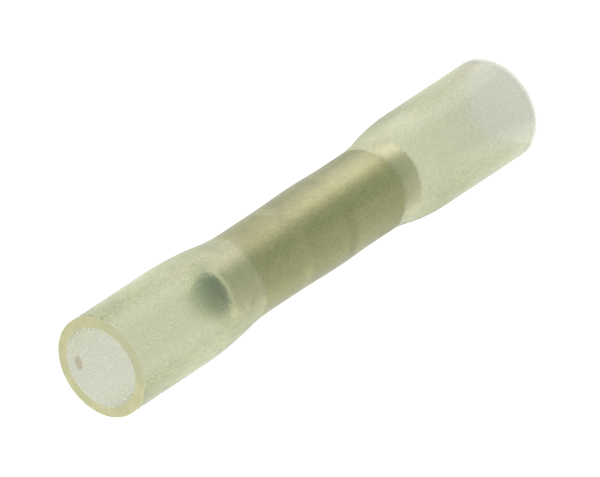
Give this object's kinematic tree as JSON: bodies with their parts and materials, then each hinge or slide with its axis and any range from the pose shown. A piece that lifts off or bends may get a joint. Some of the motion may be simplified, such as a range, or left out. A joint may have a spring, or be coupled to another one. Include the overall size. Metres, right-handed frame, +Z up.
{
  "type": "heat shrink butt connector",
  "caption": "Straight wire splice: a metal crimp barrel held in the shrunk neck of a translucent yellow heat shrink sleeve with wide open ends.",
  "frame": {"origin": "middle of the lower rim, on the surface that the connector stands on", "axes": "+Z up along the connector's axis; the wire stop's dimple faces +Y"},
  "size_m": [0.0072, 0.0072, 0.042],
  "materials": {
    "yellow_translucent_sleeve": "satin translucent, frosted",
    "tinned_copper": "satin tin plate"
  },
  "bodies": {
    "root": {"heat_shrink_tube": "yellow_translucent_sleeve", "crimp_barrel": "tinned_copper"}
  },
  "joints": []
}
